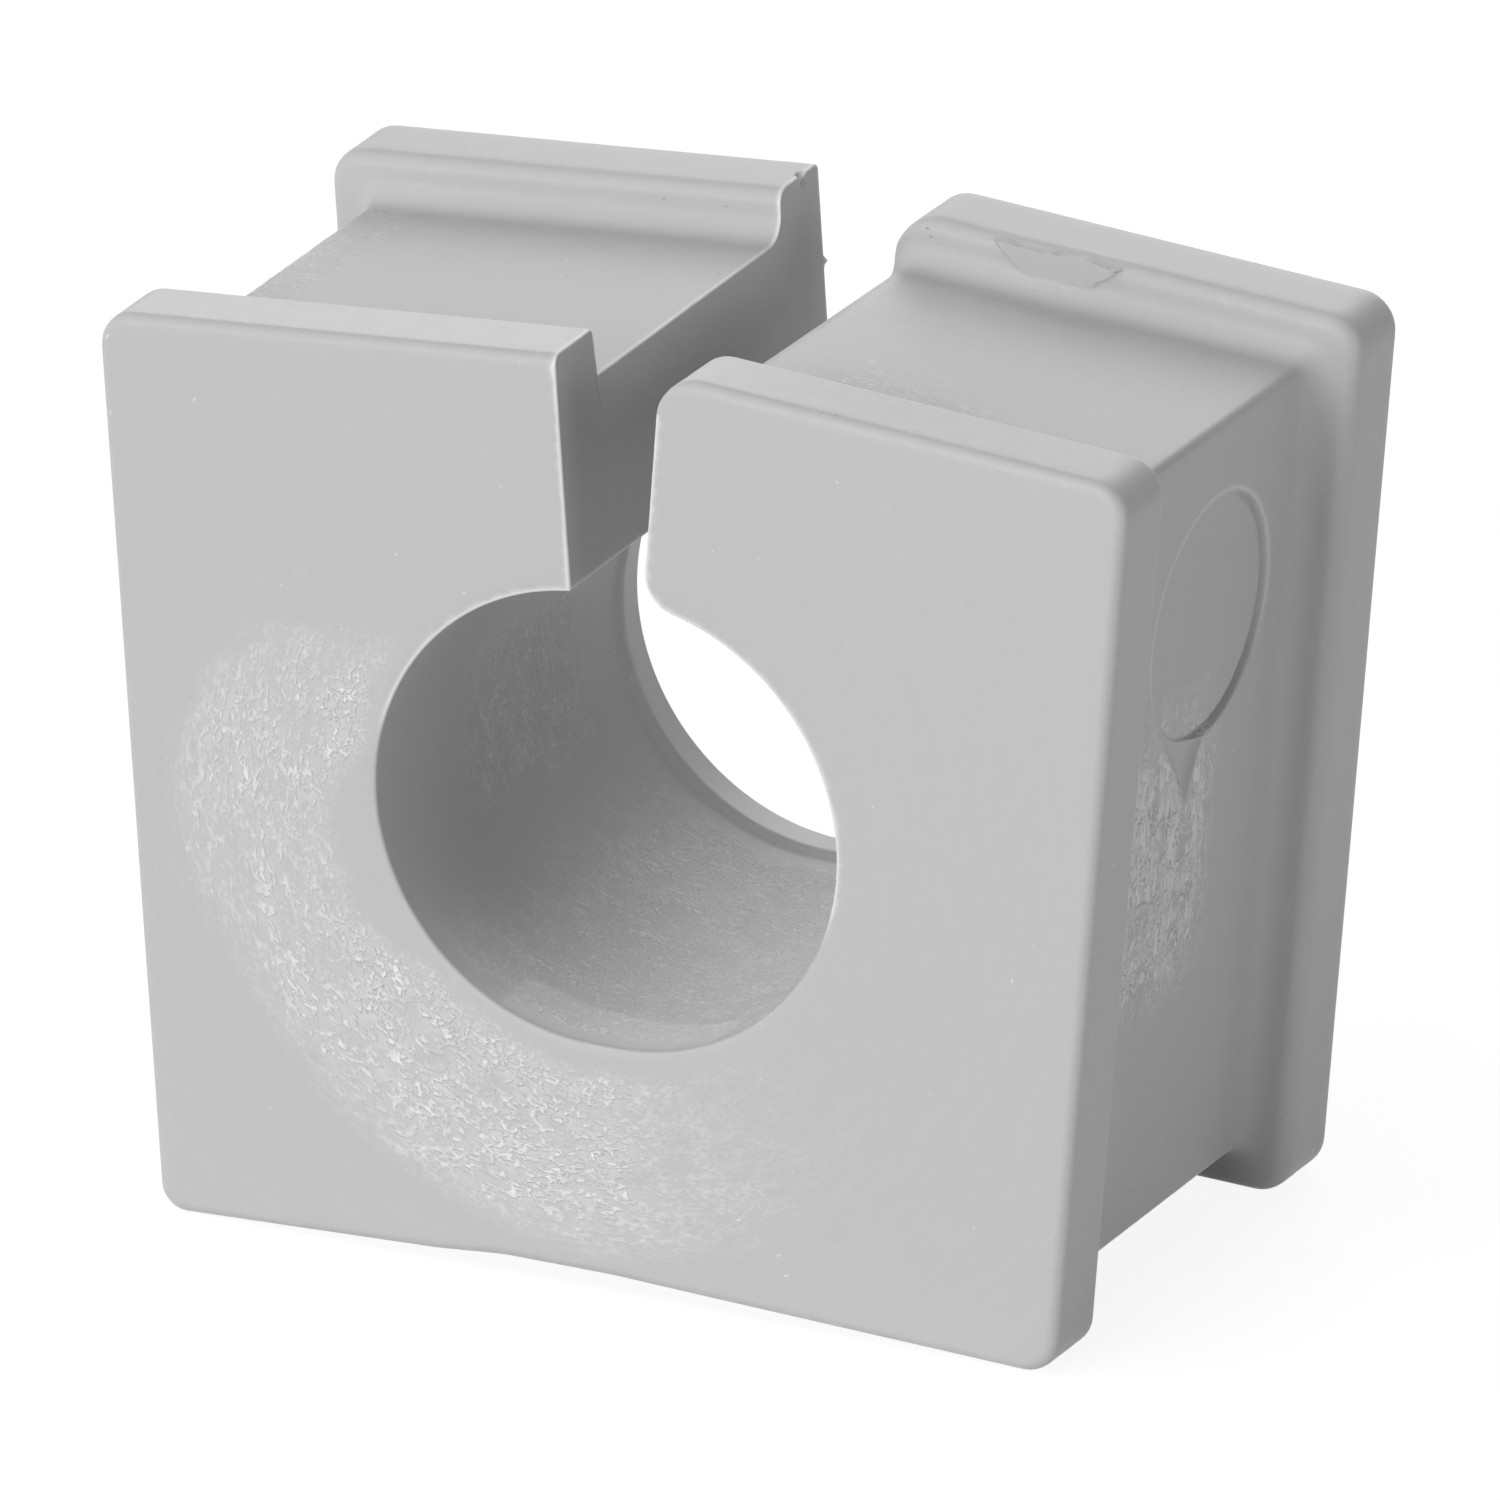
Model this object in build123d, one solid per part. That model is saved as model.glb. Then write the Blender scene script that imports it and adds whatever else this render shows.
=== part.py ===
from build123d import *
import math
import os

# Split cable grommet, moulded in one piece and sprung open a little at its slit.
# The block runs across x, front to back along y, and stands on its lower rims at z = 0.

# Closed block, before it springs open
half_width = 21.35            # outer side to slit face of one half
block_height = 40.0           # along a side, lower to upper rim
block_depth = 26.2            # front face to back face

# How far the two halves have sprung open
lean = 4.17                   # degrees, each half away from upright
splay = 0.97                  # degrees, each half away from straight front to back
base_pull_in = 0.35           # loss of half width along the base
base_rise = 0.8               # arch of the base at the centre
base_crest = 0.4              # half width of the level part of the arch, right half
kink_start = 5.0              # distance from the centre where the left base steps down
kink_end = 8.1                # and where that step ends
kink_height = 0.52            # height of the base where the step ends
base_bend_radius = 12.0       # bends of the arched base
web_overlap = 1.0             # how far each half runs past the centre below the bore

# Flanges and the groove between them
front_flange = 3.65           # thickness of the front flange
back_flange = 4.0             # thickness of the back flange
groove_depth = 2.1            # drop from the flanges to the waist, on all four sides

# Bore for the cable
bore_radius = 10.0            # half the cable size it is made for
bore_height = 21.2            # axis above the lower corners
bore_spread = 0.84            # each half bore away from the centre, at mid depth
lip_width = 2.8               # sealing lip at the back mouth of the bore
lip_ramp = 0.4                # length of the ramp up to the lip
lip_step = 0.25               # how far the lip stands into the bore
lip_flare = 0.15              # how far the back mouth opens past the bore

# Roundings seen from the front
corner_radius = 2.0           # outer corners of the flanges
worn_corner_radius = 1.3      # lower left corner of the flanges
waist_corner_radius = 0.4     # corners of the waist
slit_corner_radius = 2.2      # top of the slit, right half
slit_mouth_radius = 1.7       # where the slit opens into the bore, right half
mouth_bite = 0.003            # how far that rounding runs into the bore past its tangent

# Roundings along the rims
front_rim_radius = 0.5        # front face of the front flange
back_rim_radius = 0.35        # back face of the back flange
inner_rim_radius = 0.7        # inner edge of the back flange
root_flank = 0.3              # flat wall between the inner rim and the root fillet

# Shallow disc with a dip below it, on the right side of the waist
disc_radius = 6.0
disc_depth = 0.3
disc_drop = 10.6              # centre below the upper corner, along the side
disc_back = 0.3               # centre behind mid depth
dip_depth = 0.25
dip_front = 3.3               # front corner of the dip, ahead of mid depth
dip_front_drop = 15.0         # and how far it lies below the upper corner
dip_back = 0.9                # rear corner, behind mid depth
dip_back_drop = 16.4
dip_tip = 0.4                 # lower tip, ahead of mid depth
dip_tip_drop = 18.2

# Gate mark on the inner wall of the back flange, right half
gate_radius = 3.6             # roundness of the half moon
gate_reach = 14.0             # its middle, from the upper corner along the top
gate_drop = 1.65              # its lowest point below the top of the flange
gate_inset = 0.2              # its upper edge below the top of the flange
gate_proud = 0.3              # how far it stands out of the wall

# Working values
margin = 1.0                  # how far a cut runs past what it cuts
near = 0.001                  # places closer than this count as one
LEFT, RIGHT = -1, 1
root_radius = groove_depth - inner_rim_radius - root_flank

# Places along the depth
front_y = -block_depth / 2
back_y = block_depth / 2
groove_front_y = front_y + front_flange
groove_back_y = back_y - back_flange
lip_start_y = back_y - lip_width
lip_crest_y = lip_start_y + lip_ramp

# Directions and corners of one half, seen from the front and drawn as a right half
splay_slope = math.tan(math.radians(splay))
UP = (math.sin(math.radians(lean)), math.cos(math.radians(lean)))
OUT = (UP[1], -UP[0])


def step(point, out=0.0, up=0.0):
    """A point moved along the leaning directions of its half."""
    return (point[0] + out * OUT[0] + up * UP[0], point[1] + out * OUT[1] + up * UP[1])


LOWER_CORNER = (half_width - base_pull_in, 0.0)
UPPER_CORNER = step(LOWER_CORNER, up=block_height)
SLIT_CORNER = step(UPPER_CORNER, out=-half_width)


def toward(a, b, distance):
    """The point at a distance from a on the way to b."""
    share = distance / math.dist(a, b)
    return (a[0] + (b[0] - a[0]) * share, a[1] + (b[1] - a[1]) * share)


def halfway(a, b):
    return ((a[0] + b[0]) / 2, (a[1] + b[1]) / 2)


def measured(point, origin):
    """How far a point lies out from and up from an origin, along the leaning directions."""
    dx, dz = point[0] - origin[0], point[1] - origin[1]
    return dx * OUT[0] + dz * OUT[1], dx * UP[0] + dz * UP[1]


def meet(a, b, c, d):
    """Where the line through a and b crosses the line through c and d."""
    ab = (b[0] - a[0], b[1] - a[1])
    cd = (d[0] - c[0], d[1] - c[1])
    across = ab[0] * cd[1] - ab[1] * cd[0]
    share = ((c[0] - a[0]) * cd[1] - (c[1] - a[1]) * cd[0]) / across
    return (a[0] + ab[0] * share, a[1] + ab[1] * share)


def rounded(before, corner, after, radius):
    """Start, middle and end of the arc that rounds a corner between two straight lines."""
    spread = math.dist(toward(corner, before, 1), toward(corner, after, 1))
    half_angle = math.asin(spread / 2)
    start = toward(corner, before, radius / math.tan(half_angle))
    end = toward(corner, after, radius / math.tan(half_angle))
    bulge = radius / math.sin(half_angle) - radius
    return start, toward(corner, halfway(start, end), bulge), end


def base_line(side, inset):
    """Corners of the arched base of one half, from the centre outwards."""
    crest = base_rise + inset
    start = (-web_overlap, crest)
    end = step(LOWER_CORNER, up=inset)
    if side == RIGHT:
        return [start, (base_crest, crest), end]
    return [start, (kink_start, crest), (kink_end, kink_height + inset), end]


def half_outline(side, inset):
    """One half without its bore, as a closed path of points and three-point arcs."""
    base = base_line(side, inset)
    side_low = step(LOWER_CORNER, out=-inset)
    side_high = step(UPPER_CORNER, out=-inset)
    lower = meet(base[-2], base[-1], side_low, side_high)
    upper = step(side_high, up=-inset)
    slit_top = step(SLIT_CORNER, up=-inset)
    slit_foot = meet(slit_top, step(slit_top, up=-1), (0, bore_height), (1, bore_height))
    corners = base[:-1] + [lower, upper, slit_top]
    low_radius = worn_corner_radius if side == LEFT else corner_radius
    outer_radii = [waist_corner_radius] * 2 if inset else [low_radius, corner_radius]
    radii = [base_bend_radius] * (len(base) - 2) + outer_radii
    arcs = [rounded(*corners[i:i + 3], radius) for i, radius in enumerate(radii)]
    return [[base[0]]] + arcs + [[slit_top], [slit_foot], [(-web_overlap, bore_height)]]


def slit_mouth_outline():
    """What the rounding takes off where the slit of the right half opens into the bore."""
    centre = (bore_spread, bore_height)
    reach = bore_radius - mouth_bite
    out, up = measured(step(SLIT_CORNER, out=slit_mouth_radius), centre)
    drop = up - math.sqrt((reach + slit_mouth_radius) ** 2 - out ** 2)
    hub = step(SLIT_CORNER, out=slit_mouth_radius, up=-drop)
    on_slit = step(hub, out=-slit_mouth_radius)
    on_bore = toward(centre, hub, reach)
    middle = toward(hub, halfway(on_slit, on_bore), slit_mouth_radius)
    in_bore = toward(on_bore, centre, margin)
    return [[on_slit, middle, on_bore], [in_bore], [(0, in_bore[1])], [(0, on_slit[1])]]


def slit_corner_outline(inset):
    """What the rounding at the top of the slit takes off the right half."""
    corner = step(SLIT_CORNER, up=-inset)
    arc = rounded(step(corner, out=1), corner, step(corner, up=-1), slit_corner_radius)
    outside = [step(arc[2], out=-margin), step(corner, out=-margin, up=margin)]
    return [arc] + [[point] for point in outside + [step(arc[0], up=margin)]]


def face_at(side, y, path):
    """A closed path as a flat face at one place along the depth, moved out by the splay."""
    def place(point):
        return (side * (point[0] + splay_slope * y), y, point[1])

    edges = []
    for before, entry in zip(path[-1:] + path[:-1], path):
        if math.dist(before[-1], entry[0]) > near:
            edges.append(Edge.make_line(place(before[-1]), place(entry[0])))
        if len(entry) > 1:
            edges.append(Edge.make_three_point_arc(*[place(point) for point in entry]))
    return Face(Wire(edges))


def run(side, y0, y1, path):
    """A path carried from one place along the depth to another, along the splay."""
    direction = Vector(side * splay_slope * (y1 - y0), y1 - y0, 0)
    return Solid.extrude(face_at(side, y0, path), direction)


def change(side, y0, y1, path0, path1):
    """A stretch over which one path changes into another."""
    ends = [face_at(side, y0, path0).outer_wire(), face_at(side, y1, path1).outer_wire()]
    return Solid.make_loft(ends, ruled=True)


def blank():
    """Both halves with their flanges and the slit, joined below the bore."""
    pieces = []
    for side in (LEFT, RIGHT):
        flange = half_outline(side, 0)
        pieces.append(run(side, front_y, groove_front_y, flange))
        pieces.append(run(side, groove_front_y, groove_back_y, half_outline(side, groove_depth)))
        pieces.append(run(side, groove_back_y, back_y, flange))
    return pieces[0].fuse(*pieces[1:]).clean()


def on_outline(edge, y, waist):
    """Whether an edge lies at y on the outer outline of the flanges, or of the waist."""
    middle = edge @ 0.5
    if any(abs(place.Y - y) > near for place in [middle, edge @ 0, edge @ 1]):
        return False
    point = (abs(middle.X) - splay_slope * y, middle.Z)
    if measured(point, SLIT_CORNER)[0] < near:
        return point[1] < bore_height - bore_radius
    out, up = measured(point, UPPER_CORNER)
    return (min(-out, -up, point[1] - base_rise) > groove_depth / 2) == waist


def rounded_rims(body):
    """The soft edges of the flanges and the fillet at the root of the back flange."""
    for y, waist, radius in [
        (front_y, False, front_rim_radius),
        (back_y, False, back_rim_radius),
        (groove_back_y, False, inner_rim_radius),
        (groove_back_y, True, root_radius),
    ]:
        body = body.fillet(radius, [edge for edge in body.edges() if on_outline(edge, y, waist)])
    return body


def bore_cut(side):
    """The round bore of one half, turned about its own axis, with the lip at its back mouth."""
    steepness = (lip_step + lip_flare) / (back_y - lip_crest_y)
    profile = [
        (0, front_y - margin),
        (bore_radius, front_y - margin),
        (bore_radius, lip_start_y),
        (bore_radius - lip_step, lip_crest_y),
        (bore_radius + lip_flare + margin * steepness, back_y + margin),
        (0, back_y + margin),
    ]
    half = Face(Wire.make_polygon([(radius, y, 0) for radius, y in profile], close=True))
    turned = Solid.revolve(half, 360, Axis.Y)
    return turned.moved(Location((side * bore_spread, 0, bore_height), (0, 0, -side * splay)))


def bore_floor_cut():
    """The level floor between the two half bores, as far as the lip."""
    z = bore_height - bore_radius
    low, high = front_y - margin, lip_start_y
    floor = [(side * (bore_spread + splay_slope * y), y, z) for side, y in
             [(LEFT, low), (RIGHT, low), (RIGHT, high), (LEFT, high)]]
    return Solid.extrude(Face(Wire.make_polygon(floor, close=True)), Vector(0, 0, margin))


def slit_rounding_cuts():
    """The soft edges of the slit on the right half: its top, which steps down into the groove,
    and its mouth in the bore.
    """
    flange = slit_corner_outline(0)
    waist = slit_corner_outline(groove_depth)
    rise_y = groove_back_y - root_radius
    return [
        run(RIGHT, front_y - margin, groove_front_y, flange),
        run(RIGHT, groove_front_y, rise_y, waist),
        change(RIGHT, rise_y, groove_back_y, waist, flange),
        run(RIGHT, groove_back_y, back_y + margin, flange),
        run(RIGHT, front_y - margin, back_y + margin, slit_mouth_outline()),
    ]


def waist_side(y, drop, out=0.0):
    """A place on the right side of the waist, or at a distance out from it."""
    point = step(UPPER_CORNER, out=out - groove_depth, up=-drop)
    return Vector(point[0] + splay_slope * y, y, point[1])


def disc_cut():
    along = Vector(splay_slope, 1, 0)
    outward = along.cross(Vector(UP[0], 0, UP[1]))
    floor = Plane(waist_side(disc_back, disc_drop), x_dir=along, z_dir=outward).offset(-disc_depth)
    return Solid.make_cylinder(disc_radius, disc_depth + margin, floor)


def dip_cut():
    """The three-cornered dip that runs down from the disc."""
    corners = [(-dip_front, dip_front_drop), (dip_back, dip_back_drop), (-dip_tip, dip_tip_drop)]
    places = [waist_side(y, drop, out=margin) for y, drop in corners]
    depth = (margin + dip_depth) * Vector(-OUT[0], 0, -OUT[1])
    return Solid.extrude(Face(Wire.make_polygon(places, close=True)), depth)


def gate_mark():
    """A low half moon that the gate left on the back flange, cut off level at its top."""
    x, z = step(UPPER_CORNER, out=-gate_reach, up=gate_radius - gate_drop)
    start_y = groove_back_y - gate_proud
    end_y = groove_back_y + inner_rim_radius
    moon = Plane((x + splay_slope * start_y, start_y, z), x_dir=(1, 0, 0), z_dir=(0, 1, 0))
    pad = run(RIGHT, start_y, end_y, half_outline(RIGHT, gate_inset))
    return Solid.make_cylinder(gate_radius, end_y - start_y, moon).intersect(pad)


def split_grommet():
    body = rounded_rims(blank())
    body = body.fuse(*gate_mark())
    bore = [bore_cut(LEFT), bore_cut(RIGHT), bore_floor_cut()]
    for cut in bore + slit_rounding_cuts() + [disc_cut(), dip_cut()]:
        body = body.cut(cut)
    return body.moved(Location((0, 0, -body.bounding_box().min.Z)))


grommet = split_grommet()
grommet.label = "split_grommet"
os.makedirs("parts", exist_ok=True)
export_step(grommet, "parts/split_grommet.step")
print("split_grommet", round(grommet.volume, 1), grommet.bounding_box())
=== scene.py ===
import math

import bmesh
import bpy
import numpy as np
from bpy.props import FloatProperty, FloatVectorProperty, PointerProperty
from mathutils import Matrix, Vector, kdtree, noise
from mathutils.geometry import delaunay_2d_cdt


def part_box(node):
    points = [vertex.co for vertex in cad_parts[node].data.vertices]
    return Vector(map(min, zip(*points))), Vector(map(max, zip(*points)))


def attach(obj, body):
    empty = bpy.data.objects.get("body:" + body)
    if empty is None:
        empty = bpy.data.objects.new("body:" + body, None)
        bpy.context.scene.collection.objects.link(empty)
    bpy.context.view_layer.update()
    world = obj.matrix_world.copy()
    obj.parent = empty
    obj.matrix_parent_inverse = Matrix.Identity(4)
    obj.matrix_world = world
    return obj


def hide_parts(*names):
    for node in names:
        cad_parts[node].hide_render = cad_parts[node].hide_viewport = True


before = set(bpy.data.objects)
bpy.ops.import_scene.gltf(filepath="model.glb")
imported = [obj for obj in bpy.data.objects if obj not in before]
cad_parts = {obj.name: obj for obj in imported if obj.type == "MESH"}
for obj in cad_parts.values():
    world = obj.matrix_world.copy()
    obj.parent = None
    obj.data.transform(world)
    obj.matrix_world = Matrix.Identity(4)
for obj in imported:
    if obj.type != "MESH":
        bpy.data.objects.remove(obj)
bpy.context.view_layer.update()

bl_info = {
    "name": "Split cable grommet",
    "version": (1, 0, 0),
    "blender": (4, 5, 0),
    "location": "3D View > Sidebar > Grommet",
    "description": "Dresses a moulded split cable grommet and sets its stage",
    "category": "Object",
}

NODE = "split_grommet"
BODY = "root"
WHITE_LIGHT = (1, 1, 1, 1)
MM = 0.001
LEFT, RIGHT = -1, 1

# Places taken from the solid itself, in millimetres
CAD_LOW, CAD_HIGH = (np.array(corner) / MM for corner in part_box(NODE))
FRONT_Y, BACK_Y = CAD_LOW[1], CAD_HIGH[1]

# The sprung-open form, in millimetres and degrees: the solid's, with slightly tighter corners
# and with its marks placed a little more exactly
LEAN = math.radians(4.17)
SPLAY_SLOPE = math.tan(math.radians(0.97))
HALF_WIDTH, BASE_PULL_IN, BLOCK_HEIGHT = 21.35, 0.35, 40.0
REST_DROP = 0.05              # how far the soft lower corners let the block down
BASE_RISE, BASE_CREST = 0.8, 0.4
KINK_START, KINK_END, KINK_HEIGHT = 5.0, 8.1, 0.52
FRONT_FLANGE, BACK_FLANGE, GROOVE_DEPTH = 3.65, 4.0, 2.1
BORE_RADIUS, BORE_HEIGHT, BORE_SPREAD = 10.0, 21.2, 0.84
LIP_WIDTH, LIP_RAMP, LIP_STEP, LIP_FLARE = 2.8, 0.4, 0.25, 0.15
CORNER, WORN_CORNER, WAIST_CORNER = 1.6, 1.2, 0.4
SLIT_CORNER_RADIUS, SLIT_MOUTH_RADIUS = 1.8, 1.7
FRONT_RIM, BACK_RIM, INNER_RIM, ROOT = 0.5, 0.35, 0.7, 1.1
DISC_RADIUS, DISC_DROP, DISC_BACK = 5.4, 11.0, 1.1
DIP_CORNERS = ((-2.8, 14.9), (1.3, 16.5), (0.1, 18.9))      # place along the depth, and drop
GATE_RADIUS, GATE_REACH, GATE_DROP, GATE_INSET = 3.6, 14.0, 1.65, 0.2
NICK_Y, NICK_LENGTH, NICK_STRETCH = 11.4, 0.35, (1, 1, 0.5)
NIB_DROP, NIB_LENGTH = 4.4, 0.25

# How finely the skin is meshed, in millimetres
SPACING = 0.45
ARRIS = 0.1                   # softness of the sharp edges
ARRIS_SIDE = 0.1              # width of the fine rows beside a sharp edge
WORN_ARRIS = 1.3              # how much softer the bore's front edge is at its lower part
WORN_FROM, WORN_TO = (-80, -60), (85, 110)     # where it is, in degrees round the bore
SLIVER = 1e-3                 # area below which a triangle beside a straight edge is thin
SKIN_INSET = 0.03             # room left inside the solid's box for the relief
STEP_WIDTH = 0.16             # run of the steps at the edges of the disc and the dip
TRENCH_DEPTH, TRENCH_WIDTH = 0.22, 0.11    # of the fine line inside the disc's rear edge
TRENCH_FADE = (-2, 2)         # where it begins, across the disc
HIGHLIGHT_WIDTH = 0.20              # width of the painted highlight round the disc
HIGHLIGHT_FADE = (1, 4)             # where the painted highlight ends, below the disc's centre
DIP_SLOPE = (-0.1, 0.35)      # where the dip's edge falls, into the dip
SHARP_ANGLE = 65              # degrees between two faces from which their edge is shaded sharp
ROW_PITCH, COLUMN_PITCH = 0.92, 1.06       # between the end faces' inner points, in spacings
EDGE_CLEARANCE = 0.6          # of those points from the face's edge, in spacings
RIM_STEPS, INNER_STEPS, BACK_STEPS, ARRIS_STEPS = 6, 5, 3, 2       # of the rounded edges
PARTING_ROW = 4               # row of the front rim along which the parting line runs
FACING, UPWARD = 0.99, 0.9    # least share of a normal that counts as facing, or upward
FLAT_ANGLE = 0.1              # radians between two faces that count as one flat face
TINY = 1e-12                  # stands in for the rise of a level edge
WELD = 1e-7                   # points of an end face closer than this count as one

# The moulding relief, in millimetres
CREASE_LENGTH, CREASE_WIDTH, CREASE_MEAN = 1.3, 0.6, 0.4
CREASE_RADIUS = 15.0          # where the creases have their stated length round the bore
STREAK_LENGTH, STREAK_WIDTH, STREAK_HEIGHT = 9.0, 0.5, 0.02
PARTING_LINE = 0.006          # depth of the line that runs along the front rim
RAGGED_DIP, RAGGED_GATE = 0.15, 0.12       # how far creases move the edges of these marks
TOP_SHEEN, TOP_SHEEN_REACH = 0.6, 14.0       # how strong the painted sheen on the front flange's top is, and how far to the right it reaches
FRACTAL = (0.9, 2.1, 3)       # how fast octaves of the relief's noise fade, shrink, and how many

# Where the mesh is split finer, in millimetres beyond a mark's edge
DISC_ZONE, DIP_ZONE, TRENCH_ZONE = 1.5, 1.0, 0.05
NICK_ZONE, NICK_INNER_ZONE, NIB_ZONE = 1.2, 0.8, 0.8
CRINKLED_ZONE = 0.08          # least strength of crinkling that splits it
WAIST_ZONE = 0.2              # how near the waist's side a point counts as on it

UP = np.array([math.sin(LEAN), math.cos(LEAN)])
OUT = np.array([UP[1], -UP[0]])
LOWER_CORNER = np.array([HALF_WIDTH - BASE_PULL_IN, -REST_DROP])
UPPER_CORNER = LOWER_CORNER + BLOCK_HEIGHT * UP
SLIT_TOP = UPPER_CORNER - HALF_WIDTH * OUT
BORE_CENTRE = np.array([BORE_SPREAD, BORE_HEIGHT - REST_DROP])
BORE_Z = BORE_CENTRE[1]
GROOVE_FRONT, GROOVE_BACK = FRONT_Y + FRONT_FLANGE, BACK_Y - BACK_FLANGE
LIP_START = BACK_Y - LIP_WIDTH
LIP_CREST = LIP_START + LIP_RAMP


def smooth(low, high, value):
    """Nought below low, one above high, and an even slope between."""
    share = np.clip((value - low) / (high - low), 0, 1)
    return share * share * (3 - 2 * share)


def span(start, end, value):
    """One between two ends and nought beyond them, where each end is the slope of two places."""
    return smooth(*start, value) * (1 - smooth(*end, value))


def line(a, b, count):
    """Points from a up to, but not including, b."""
    share = np.linspace(0, 1, count, endpoint=False)[:, None]
    return np.asarray(a) * (1 - share) + np.asarray(b) * share


def unit(vector):
    return vector / np.linalg.norm(vector)


def rounded(before, corner, after, radius, count):
    """Points of the arc that rounds a corner, and where that arc ends."""
    a, b = unit(before - corner), unit(after - corner)
    half_angle = math.acos(np.clip(a @ b, -1, 1)) / 2
    start = corner + a * radius / math.tan(half_angle)
    end = corner + b * radius / math.tan(half_angle)
    hub = corner + unit(a + b) * radius / math.sin(half_angle)
    turn = math.pi - 2 * half_angle
    sign = np.sign(a[0] * b[1] - a[1] * b[0])
    angles = np.linspace(0, turn, count, endpoint=False) * -sign
    spoke = start - hub
    cos, sin = np.cos(angles), np.sin(angles)
    arc = np.stack([spoke[0] * cos - spoke[1] * sin, spoke[0] * sin + spoke[1] * cos], axis=1)
    return hub + arc, end


def polyline(corners, total):
    """Evenly spaced points along straight runs, without the last corner."""
    corners = np.array(corners)
    reach = np.concatenate([[0], np.cumsum(np.linalg.norm(np.diff(corners, axis=0), axis=1))])
    places = np.linspace(0, reach[-1], total, endpoint=False)
    return np.stack([np.interp(places, reach, corners[:, axis]) for axis in (0, 1)], axis=1)


def meet(a, b, c, d):
    """Where the line through a and b crosses the line through c and d."""
    ab, cd = b - a, d - c
    share = ((c - a)[0] * cd[1] - (c - a)[1] * cd[0]) / (ab[0] * cd[1] - ab[1] * cd[0])
    return a + ab * share


def steps_for(length):
    return max(2, round(length / SPACING))


OUTER = ("side", "upper", "top")

# How many points each stretch of a half outline gets
COUNTS = {
    "base": steps_for(HALF_WIDTH), "lower": 8, "side": steps_for(BLOCK_HEIGHT - 2 * CORNER),
    "upper": 8, "top": steps_for(HALF_WIDTH - CORNER), "slit_top": 9, "slit": 24, "mouth": 7,
    "bore": steps_for(math.pi * BORE_RADIUS), "floor": 3,
}


def half_ring(side, y, inset, offset, bore, corner):
    """One half outline at one place along the depth, from the middle of the base round to the
    middle of the bore floor, drawn as a right half.

    inset is the drop of the outer sides, offset that of the slit and the bore. Returns the
    points and the name of the stretch that each belongs to.
    """
    shift = np.array([SPLAY_SLOPE * y, 0.0])
    rise = np.array([0.0, inset])
    crest = BASE_RISE - REST_DROP
    middle = np.array([0.0, crest + inset])
    foot = LOWER_CORNER + shift - inset * OUT
    head = UPPER_CORNER + shift - inset * OUT
    base_end = LOWER_CORNER + shift + inset * UP
    if side == RIGHT:
        bends = [np.array([BASE_CREST, crest]) + shift + rise]
    else:
        bends = [np.array([KINK_START, crest]) + shift + rise,
                 np.array([KINK_END, KINK_HEIGHT - REST_DROP]) + shift + rise]
    low = meet(bends[-1], base_end, foot, head)
    high = head - inset * UP
    slit_top = SLIT_TOP + shift + offset * OUT - inset * UP
    slit_low = slit_top - UP
    centre = BORE_CENTRE + shift
    low_radius = corner * (WORN_CORNER / CORNER if side == LEFT and corner > 1 else 1)
    lower, lower_end = rounded(bends[-1], low, high, low_radius, COUNTS["lower"])
    upper, upper_end = rounded(low, high, slit_top, corner, COUNTS["upper"])
    top_radius = max(SLIT_CORNER_RADIUS - min(inset, FRONT_RIM), ARRIS) if side == RIGHT else ARRIS
    mouth_radius = SLIT_MOUTH_RADIUS - offset if side == RIGHT else ARRIS
    slit_arc, slit_start = rounded(high, slit_top, slit_low, top_radius, COUNTS["slit_top"])
    hub_line = slit_top + mouth_radius * OUT
    out, up = (hub_line - centre) @ OUT, (hub_line - centre) @ UP
    hub = hub_line - (up - math.sqrt((bore + offset + mouth_radius) ** 2 - out ** 2)) * UP
    mouth_start = hub - mouth_radius * OUT
    bore_start = centre + unit(hub - centre) * (bore + offset)
    start_angle = math.atan2(*(mouth_start - hub)[::-1]) % (2 * math.pi)
    end_angle = math.atan2(*(bore_start - hub)[::-1]) % (2 * math.pi)
    angles = np.linspace(start_angle, end_angle, COUNTS["mouth"], endpoint=False)[:, None]
    mouth = hub + mouth_radius * np.hstack([np.cos(angles), np.sin(angles)])
    first = math.atan2(*(bore_start - centre)[::-1])
    angles = np.linspace(first, -math.pi / 2, COUNTS["bore"], endpoint=False)[:, None]
    wall = centre + (bore + offset) * np.hstack([np.cos(angles), np.sin(angles)])
    floor = centre - np.array([0, bore + offset])
    base = polyline([middle] + bends + [lower[0]], COUNTS["base"])
    stretches = {
        "base": base, "lower": lower, "side": line(lower_end, upper[0], COUNTS["side"]),
        "upper": upper, "top": line(upper_end, slit_arc[0], COUNTS["top"]), "slit_top": slit_arc,
        "slit": line(slit_start, mouth_start, COUNTS["slit"]), "mouth": mouth, "bore": wall,
        "floor": line(floor, np.array([0.0, floor[1]]), COUNTS["floor"]),
    }
    names = [name for name, points in stretches.items() for _ in points]
    points = np.vstack(list(stretches.values()) + [[[0.0, floor[1]]]])
    return points, np.array(names + ["floor"])


def quarter(steps):
    return np.linspace(0, math.pi / 2, steps + 1)


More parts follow.
